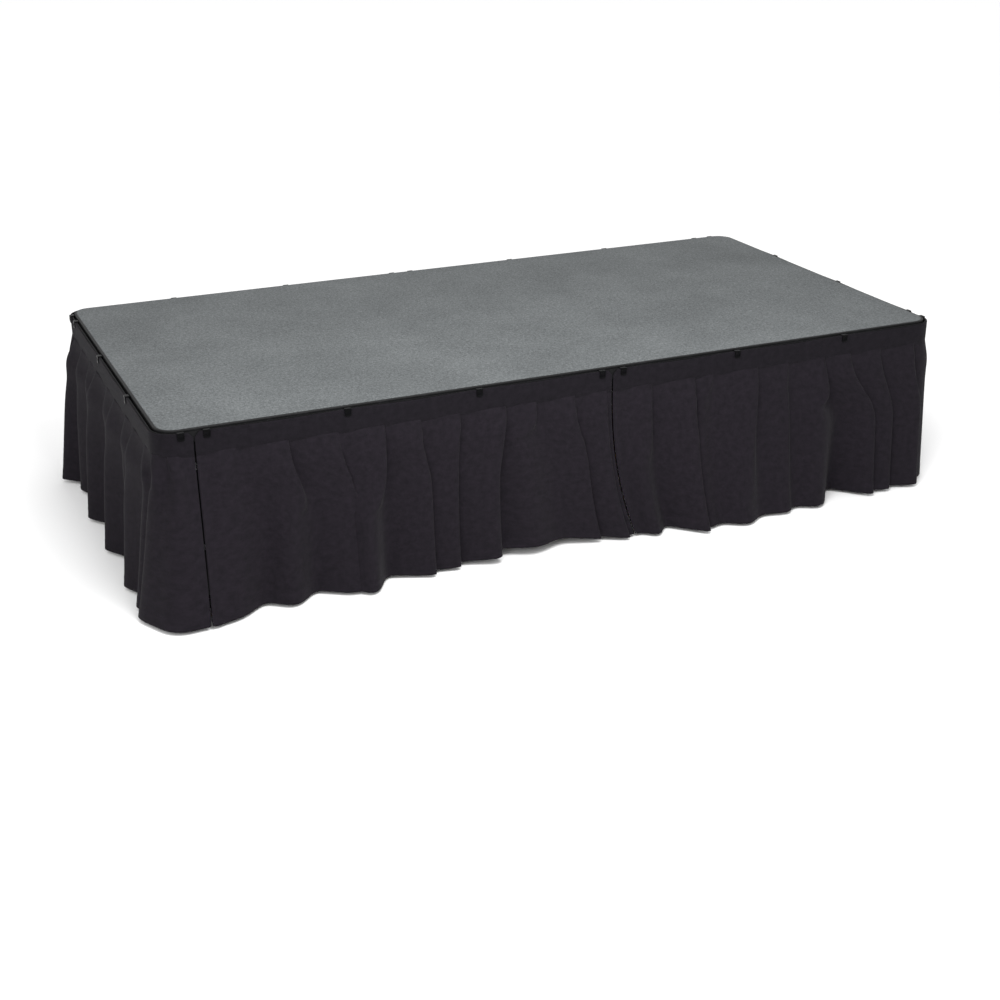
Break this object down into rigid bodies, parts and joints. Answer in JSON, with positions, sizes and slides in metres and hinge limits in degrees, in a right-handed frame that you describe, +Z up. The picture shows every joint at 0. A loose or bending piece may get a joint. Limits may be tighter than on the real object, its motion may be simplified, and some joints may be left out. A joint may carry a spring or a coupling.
{
  "type": "stage riser platform",
  "caption": "Low rectangular stage deck with round corners, carpet top, folding leg frames with braces, levelling feet and gathered fabric skirts hung on clips.",
  "frame": {"origin": "on the floor, under the centre of the deck", "axes": "+X along the deck's long side, +Y from the front edge to the rear edge, +Z up"},
  "size_m": [1.9286, 1.0136, 0.406],
  "materials": {
    "carpet": "matte needle-felt carpet",
    "plywood": "sealed birch plywood",
    "edge_moulding": "satin extruded plastic",
    "skirt_rail": "black powder coat",
    "fastener": "bright zinc plate",
    "frame_steel": "black powder coat",
    "bracket_steel": "black powder coat",
    "leg_steel": "black powder coat",
    "brace_steel": "zinc plate",
    "black_nylon": "moulded nylon",
    "glide": "rubber pad on a nylon base with a steel stem",
    "skirt_cloth": "matte woven polyester",
    "clip": "glossy moulded plastic"
  },
  "bodies": {
    "deck": {"carpet": "carpet", "plywood_deck": "plywood", "edge_moulding": "edge_moulding", "skirt_rail_front": "skirt_rail", "skirt_rail_rear": "skirt_rail", "skirt_rail_left": "skirt_rail", "skirt_rail_right": "skirt_rail", "skirt_rail_corners": "skirt_rail", "skirt_rail_screws": "fastener", "frame_rail_front": "frame_steel", "frame_rail_rear": "frame_steel", "frame_rail_left": "frame_steel", "frame_rail_right": "frame_steel", "frame_cross_members": "frame_steel", "frame_end_caps": "black_nylon", "deck_screws": "fastener", "leg_pivot_brackets": "bracket_steel", "bracket_bolts": "fastener", "leg_pivot_bolts": "fastener", "brace_anchor_brackets": "bracket_steel", "brace_anchor_bolts": "fastener"},
    "left_leg": {"left_leg_tube_front": "leg_steel", "left_leg_tube_rear": "leg_steel", "left_leg_crossbar_upper": "leg_steel", "left_leg_crossbar_lower": "leg_steel", "left_leg_pivot_sleeves": "fastener", "left_leg_end_plugs": "black_nylon", "left_brace_leg_rivets": "fastener"},
    "right_leg": {"right_leg_tube_front": "leg_steel", "right_leg_tube_rear": "leg_steel", "right_leg_crossbar_upper": "leg_steel", "right_leg_crossbar_lower": "leg_steel", "right_leg_pivot_sleeves": "fastener", "right_leg_end_plugs": "black_nylon", "right_brace_leg_rivets": "fastener"},
    "left_brace_upper": {"left_brace_upper_links": "brace_steel", "left_brace_release_bar": "brace_steel"},
    "right_brace_upper": {"right_brace_upper_links": "brace_steel", "right_brace_release_bar": "brace_steel"},
    "left_brace_lower": {"left_brace_lower_links": "brace_steel", "left_knee_rivets": "fastener"},
    "right_brace_lower": {"right_brace_lower_links": "brace_steel", "right_knee_rivets": "fastener"},
    "glide_fl": {"glide_front_left": "glide"},
    "glide_fr": {"glide_front_right": "glide"},
    "glide_rl": {"glide_rear_left": "glide"},
    "glide_rr": {"glide_rear_right": "glide"},
    "skirt_fl": {"skirt_front_left": "skirt_cloth", "clips_front_left": "clip"},
    "skirt_fr": {"skirt_front_right": "skirt_cloth", "clips_front_right": "clip"},
    "skirt_r": {"skirt_right": "skirt_cloth", "clips_right": "clip"},
    "skirt_rr": {"skirt_rear_right": "skirt_cloth", "clips_rear_right": "clip"},
    "skirt_rl": {"skirt_rear_left": "skirt_cloth", "clips_rear_left": "clip"},
    "skirt_l": {"skirt_left": "skirt_cloth", "clips_left": "clip"}
  },
  "joints": [
    {"name": "left_leg_fold", "type": "hinge", "parent": "deck", "child": "left_leg", "pos_m": [-0.8395, 0, 0.316], "axis": [0, -1, 0], "range_deg": [0, 90]},
    {"name": "right_leg_fold", "type": "hinge", "parent": "deck", "child": "right_leg", "pos_m": [0.8395, 0, 0.316], "axis": [0, 1, 0], "range_deg": [0, 90]},
    {"name": "left_brace_upper_turn", "type": "hinge", "parent": "deck", "child": "left_brace_upper", "pos_m": [-0.6395, 0, 0.316], "axis": [0, 1, 0], "range_deg": [0, 41.99]},
    {"name": "right_brace_upper_turn", "type": "hinge", "parent": "deck", "child": "right_brace_upper", "pos_m": [0.6395, 0, 0.316], "axis": [0, -1, 0], "range_deg": [0, 41.99]},
    {"name": "left_brace_lower_turn", "type": "hinge", "parent": "left_leg", "child": "left_brace_lower", "pos_m": [-0.8395, 0, 0.136], "axis": [0, -1, 0], "range_deg": [0, 48.01]},
    {"name": "right_brace_lower_turn", "type": "hinge", "parent": "right_leg", "child": "right_brace_lower", "pos_m": [0.8395, 0, 0.136], "axis": [0, 1, 0], "range_deg": [0, 48.01]},
    {"name": "glide_fl_screw", "type": "slide", "parent": "left_leg", "child": "glide_fl", "axis": [0, 0, -1], "range_m": [0, 0.018]},
    {"name": "glide_fr_screw", "type": "slide", "parent": "right_leg", "child": "glide_fr", "axis": [0, 0, -1], "range_m": [0, 0.018]},
    {"name": "glide_rl_screw", "type": "slide", "parent": "left_leg", "child": "glide_rl", "axis": [0, 0, -1], "range_m": [0, 0.018]},
    {"name": "glide_rr_screw", "type": "slide", "parent": "right_leg", "child": "glide_rr", "axis": [0, 0, -1], "range_m": [0, 0.018]},
    {"name": "skirt_fl_lift", "type": "slide", "parent": "deck", "child": "skirt_fl", "axis": [0, 0, 1], "range_m": [0, 0.42]},
    {"name": "skirt_fr_lift", "type": "slide", "parent": "deck", "child": "skirt_fr", "axis": [0, 0, 1], "range_m": [0, 0.42]},
    {"name": "skirt_r_lift", "type": "slide", "parent": "deck", "child": "skirt_r", "axis": [0, 0, 1], "range_m": [0, 0.42]},
    {"name": "skirt_rr_lift", "type": "slide", "parent": "deck", "child": "skirt_rr", "axis": [0, 0, 1], "range_m": [0, 0.42]},
    {"name": "skirt_rl_lift", "type": "slide", "parent": "deck", "child": "skirt_rl", "axis": [0, 0, 1], "range_m": [0, 0.42]},
    {"name": "skirt_l_lift", "type": "slide", "parent": "deck", "child": "skirt_l", "axis": [0, 0, 1], "range_m": [0, 0.42]}
  ],
  "couplings": [
    {"joint": "left_brace_upper_turn", "follows": "left_leg_fold", "ratio": 0.46652},
    {"joint": "right_brace_upper_turn", "follows": "right_leg_fold", "ratio": 0.46652},
    {"joint": "left_brace_lower_turn", "follows": "left_leg_fold", "ratio": 0.53348},
    {"joint": "right_brace_lower_turn", "follows": "right_leg_fold", "ratio": 0.53348}
  ]
}
